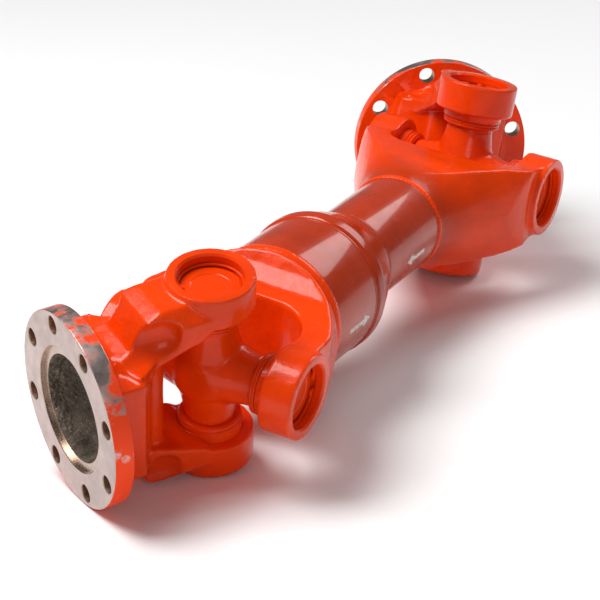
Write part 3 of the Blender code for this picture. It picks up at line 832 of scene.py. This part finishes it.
class SHAFT_OT_bearings(Build):
    """Turn the bearing cups, circlips and seals"""
    bl_idname = "shaft.bearings"
    bl_label = "Bearings"

    def execute(self, context):
        sizes = self.sizes
        cap, cup = sizes.cap_face, sizes.ear_bore - 0.0003
        bore, lip, mouth, floor = cup - 0.0065, cup - 0.0012, 0.0580, cap - 0.006
        cup_profile = [(cap - 0.0006, 0.0, 0.0), (cap - 0.0006, 0.0175, 0.0005), (cap, 0.0182, 0.0004),
                       (cap, 0.0262, 0.0004), (cap - 0.0009, 0.0268, 0.0004), (cap - 0.0009, cup, 0.0006),
                       (0.0594, cup, 0.0004), (0.0590, lip, 0.0004), (mouth, lip, 0.0004),
                       (mouth, bore, 0.0), (floor, bore, 0.0), (floor, 0.0, 0.0)]
        seal_profile = [(0.0513, 0.0203, 0.0), (0.0513, 0.0262, 0.0008), (0.0530, 0.0284, 0.0008),
                        (0.0546, 0.0284, 0.0005), (0.0549, 0.0274, 0.0003), (0.0556, 0.0274, 0.0003),
                        (0.0559, 0.0286, 0.0005), (0.0576, 0.0286, 0.0006), (0.0576, 0.0203, 0.0)]
        enamelled = [finish("smooth_enamel")]
        for end in ("front", "rear"):
            for label, axis, sign, ear in (("left", "Y", 1, "shaft"), ("right", "Y", -1, "shaft"),
                                           ("top", "Z", 1, "flange"), ("bottom", "Z", -1, "flange")):
                # the rear shaft's frame is turned half round about Z
                side = -sign if (end, axis) == ("rear", "Y") else sign
                cup_cap = turned(f"{end}_cup_{label}_cap", cup_profile, 72, axis=axis, sign=side)
                place(cup_cap, f"{end}_{ear}", enamelled, stands_for=[f"{end}_cup_{label}"])
                ring = snap_ring(f"{end}_circlip_{label}_ring", cap, axis, side)
                place(ring, f"{end}_{ear}", enamelled, stands_for=[f"{end}_circlip_{label}"])
                seal = turned(f"{end}_seal_{label}_lip", seal_profile, 72, closed=True, axis=axis,
                              sign=sign)
                place(seal, f"{end}_cross", enamelled, stands_for=[f"{end}_seal_{label}"])
        return {"FINISHED"}


def snap_ring(name, cap, axis, sign):
    """An open ring in its groove, wider at its two ends where the pliers hold it.

    gap is half of the opening and eye the length of a wide end, both as angles.
    """
    full, steps = 2.0 * math.pi, 112
    gap, eye = math.radians(9.0), math.radians(16.0)
    outer, inner, eye_depth, half = 0.0312, 0.0275, 0.0038, 0.0011
    middle = cap + 0.0018
    data = bmesh.new()
    rows = []
    for k in range(steps + 1):
        angle = gap + (full - 2.0 * gap) * k / steps
        from_end = min(angle, full - angle) - gap
        bulge = 0.0
        if from_end < eye:
            bulge = eye_depth * math.sqrt(max(0.0, 1.0 - (2.0 * from_end / eye - 1.0) ** 2))
        row = [(outer, middle - half), (outer, middle + half), (inner - bulge, middle + half),
               (inner - bulge, middle - half)]
        rows.append([data.verts.new((r * math.cos(angle), r * math.sin(angle), z)) for r, z in row])
    for first, last in zip(rows, rows[1:]):
        for a in range(4):
            b = (a + 1) % 4
            data.faces.new((first[a], first[b], last[b], last[a]))
    data.faces.new(rows[0])
    data.faces.new(rows[-1])
    ring = as_object(name, data)
    bevel = ring.modifiers.new("Edge", "BEVEL")
    bevel.width, bevel.segments = 0.0003, 2
    apply_stack(ring)
    if axis == "Y":
        ring.data.transform(Matrix.Rotation(-math.pi / 2, 4, "X"))
    if sign < 0:
        ring.data.transform(Matrix.Rotation(math.pi, 4, "X"))
    outward(ring)
    return ring


class SHAFT_OT_slip_joint(Build):
    """Turn the sleeve, gland, wiper and tube, and lay their weld beads"""
    bl_idname = "shaft.slip_joint"
    bl_label = "Slip joint"

    def execute(self, context):
        sizes = self.sizes
        sleeve, tube = sizes.sleeve_radius, sizes.tube_radius
        enamelled = [finish("turned_enamel")]
        sleeve_bore, tube_bore = 0.057, 0.040
        gland_bore, wiper_bore = tube + 0.0005, tube + 0.0004
        piece = turned("spline_sleeve_shell", [
            (0.1183, sleeve_bore, 0.0), (0.1183, sleeve, 0.0004), (0.1995, sleeve, 0.0005),
            (0.2002, sleeve - 0.0005, 0.0), (0.2009, sleeve, 0.0005), (0.2030, sleeve, 0.0004),
            (0.2030, sleeve_bore, 0.0)], 144, closed=True)
        place(piece, "front_shaft", enamelled, stands_for=["spline_sleeve"])
        piece = turned("seal_gland_shell", [
            (0.2033, sleeve_bore, 0.0), (0.2033, sleeve, 0.0006), (0.2056, 0.0697, 0.001),
            (0.2160, 0.0700, 0.0016), (0.2420, 0.0612, 0.002), (0.2668, 0.0520, 0.0006),
            (0.2673, 0.0514, 0.0003), (0.2679, 0.0518, 0.0003), (0.2700, 0.0510, 0.0006),
            (0.2700, gland_bore, 0.0), (0.2440, gland_bore, 0.0), (0.2320, sleeve_bore, 0.0)],
            144, closed=True)
        place(piece, "front_shaft", enamelled, stands_for=["seal_gland"])
        piece = turned("wiper_ring_lip", [
            (0.2703, wiper_bore, 0.0), (0.2703, 0.0508, 0.0004), (0.2718, 0.0510, 0.0005),
            (0.2733, 0.0502, 0.0005), (0.2748, tube + 0.0012, 0.0003), (0.2750, wiper_bore, 0.0)],
            144, closed=True)
        place(piece, "front_shaft", enamelled, stands_for=["wiper_ring"])
        start, end = JOINT_DISTANCE - TUBE_START, REAR_NECK_REACH + 0.0003
        piece = turned("shaft_tube_shell", [
            (start, tube_bore, 0.0), (start, tube, 0.0005), (end, tube, 0.0003), (end, tube_bore, 0.0)],
            144, closed=True)
        place(piece, "rear_shaft", enamelled, stands_for=["shaft_tube"])
        weld("sleeve_weld_bead", 0.118, sleeve, 0.0026, 0.0065, "front_shaft", "sleeve_weld")
        weld("tube_weld_bead", REAR_NECK_REACH, tube, 0.0019, 0.0040, "rear_shaft", "tube_weld")
        return {"FINISHED"}


def weld(name, middle, radius, height, half_width, body, stands_for):
    """A bead whose height and edges ripple as the torch went round."""
    steps, across, ripples = 288, 9, 72
    data = bmesh.new()
    rings = []
    for k in range(steps):
        angle = 2.0 * math.pi * k / steps
        ripple = 0.5 + 0.5 * math.sin(angle * ripples + 1.3 * math.sin(angle * 5))
        wander = math.sin(angle * 7 + 1.0) * 0.5 + math.sin(angle * 13) * 0.3
        top = height * (0.82 + 0.12 * ripple + 0.06 * wander)
        half = half_width * (0.92 + 0.08 * wander)
        row = []
        for j in range(across):
            share = j / (across - 1)
            x = middle + half * (2 * share - 1) + 0.0004 * math.sin(angle * ripples)
            r = radius + 0.0001 + top * math.sin(math.pi * share) ** 0.8
            row.append(data.verts.new((x, r * math.cos(angle), r * math.sin(angle))))
        rings.append(row)
    for k in range(steps):
        first, last = rings[k], rings[(k + 1) % steps]
        for j in range(across):
            after = (j + 1) % across
            data.faces.new((first[j], first[after], last[after], last[j]))
    bead = as_object(name, data)
    outward(bead)
    place(bead, body, [finish("smooth_enamel")], stands_for=[stands_for])


class SHAFT_OT_marks(Build):
    """Paint the two alignment arrows on the sleeve and the tube"""
    bl_idname = "shaft.marks"
    bl_label = "Alignment marks"

    def execute(self, context):
        sizes = self.sizes
        arrow("sleeve_arrow", 0.146, 0.188, -178.0, sizes.sleeve_radius, "front_shaft")
        tail, head = JOINT_DISTANCE - 0.355, JOINT_DISTANCE - 0.316
        arrow("tube_arrow", tail, head, -3.0, sizes.tube_radius, "rear_shaft")
        return {"FINISHED"}


def arrow(name, tail, head, degrees, radius, body):
    """A thin painted arrow bent round the tube, in strips of quads from tail to point."""
    way = 1.0 if head > tail else -1.0
    long = abs(head - tail)
    stem_half, head_half, head_length = 0.0022, 0.0062, 0.013
    under, over = 0.00002, 0.00022
    strips, stretches = 6, 6
    stations = [(0.0, stem_half)]
    stations += [(long * k / stretches * 0.7, stem_half) for k in range(1, stretches + 1)]
    stations += [(long - head_length, stem_half), (long - head_length + 0.0001, head_half)]
    for k in range(1, stretches + 1):
        left = 1 - k / stretches
        stations.append((long - head_length * left, head_half * left + 0.0002))
    data = bmesh.new()
    rows = []
    for along, half in stations:
        row = []
        for j in range(strips + 1):
            turn = math.radians(degrees) + half * (2 * j / strips - 1) / radius
            for lift in (under, over):
                r = radius + lift
                row.append(data.verts.new((tail + way * along, r * math.cos(turn), r * math.sin(turn))))
        rows.append(row)
    for first, last in zip(rows, rows[1:]):
        for j in range(strips):
            a, b = 2 * j, 2 * j + 2
            data.faces.new((first[a], first[b], last[b], last[a]))
            data.faces.new((first[a + 1], last[a + 1], last[b + 1], first[b + 1]))
        for a in (0, 2 * strips):
            data.faces.new((first[a], last[a], last[a + 1], first[a + 1]))
    for row in (rows[0], rows[-1]):
        for j in range(strips):
            data.faces.new((row[2 * j], row[2 * j + 1], row[2 * j + 3], row[2 * j + 2]))
    made = as_object(name, data)
    outward(made)
    place(made, body, [finish("mark_paint")])


class SHAFT_OT_inner_steel(Build):
    """Give the splines and needle rollers their ground steel"""
    bl_idname = "shaft.inner_steel"
    bl_label = "Inner steel"

    def execute(self, context):
        for name, node in frame["nodes"].items():
            if "needles" in name or name in ("spline_hub", "splined_stub"):
                kind = "bearing_steel" if "needles" in name else "bare_steel"
                node.data.materials.clear()
                node.data.materials.append(finish(kind))
                record_local(node.data)
        return {"FINISHED"}


class SHAFT_OT_stage(Build):
    """Lay the floor, hang the soft lights and set up the camera"""
    bl_idname = "shaft.stage"
    bl_label = "Studio"

    def execute(self, context):
        mesh = bpy.data.meshes.new("studio_floor")
        corners = [(x * FLOOR_REACH, y * FLOOR_REACH, FLOOR_LEVEL)
                   for x, y in ((-1, -1), (1, -1), (1, 1), (-1, 1))]
        mesh.from_pydata(corners, [], [(0, 1, 2, 3)])
        mesh.materials.append(studio_floor("studio_floor", tuple(context.scene.shaft_colours.floor)))
        link("studio_floor", mesh)
        world = bpy.data.worlds.new("studio")
        world.use_nodes = True
        sky = world.node_tree.nodes["Background"]
        sky.inputs["Color"].default_value = (1.0, 1.0, 1.0, 1.0)
        sky.inputs["Strength"].default_value = SKY_STRENGTH
        context.scene.world = world
        context.scene.view_settings.view_transform = "Standard"
        for name, place_at, size, power in SOFTBOXES:
            light = bpy.data.lights.new(name, "AREA")
            light.shape, light.size, light.energy = "SQUARE", size, power
            lamp = bpy.data.objects.new(name, light)
            lamp.location = place_at
            aim = Vector(LIGHT_AIM) - Vector(place_at)
            lamp.rotation_euler = aim.to_track_quat("-Z", "Y").to_euler()
            context.scene.collection.objects.link(lamp)
        camera = bpy.data.objects.new("camera", bpy.data.cameras.new("camera"))
        camera.data.lens = CAMERA_LENS
        camera.data.sensor_width = SENSOR_WIDTH
        camera.location = CAMERA_PLACE
        camera.rotation_euler = [math.radians(angle) for angle in CAMERA_TURN]
        context.scene.collection.objects.link(camera)
        context.scene.camera = camera
        return {"FINISHED"}


OPERATORS = (SHAFT_OT_shaft_yokes, SHAFT_OT_flange_yokes, SHAFT_OT_crosses, SHAFT_OT_bearings,
             SHAFT_OT_slip_joint, SHAFT_OT_marks, SHAFT_OT_inner_steel, SHAFT_OT_stage)


class SHAFT_PT_panel(bpy.types.Panel):
    """Sizes, colours and one button for each group of pieces"""
    bl_idname = "SHAFT_PT_panel"
    bl_label = "Universal joint shaft"
    bl_space_type = "VIEW_3D"
    bl_region_type = "UI"
    bl_category = "Shaft"

    def draw(self, context):
        for group in (context.scene.shaft_sizes, context.scene.shaft_colours):
            column = self.layout.column(align=True)
            for name in group.__annotations__:
                column.prop(group, name)
        for operator in OPERATORS:
            self.layout.operator(operator.bl_idname)


CLASSES = (ShaftSizes, ShaftColours) + OPERATORS + (SHAFT_PT_panel,)


def register():
    for made in CLASSES:
        bpy.utils.register_class(made)
    bpy.types.Scene.shaft_sizes = bpy.props.PointerProperty(type=ShaftSizes)
    bpy.types.Scene.shaft_colours = bpy.props.PointerProperty(type=ShaftColours)


def unregister():
    del bpy.types.Scene.shaft_colours
    del bpy.types.Scene.shaft_sizes
    for made in reversed(CLASSES):
        bpy.utils.unregister_class(made)


def main():
    register()
    for step in (bpy.ops.shaft.shaft_yokes, bpy.ops.shaft.flange_yokes, bpy.ops.shaft.crosses,
                 bpy.ops.shaft.bearings, bpy.ops.shaft.slip_joint, bpy.ops.shaft.marks,
                 bpy.ops.shaft.inner_steel, bpy.ops.shaft.stage):
        step()


if __name__ == "__main__":
    main()
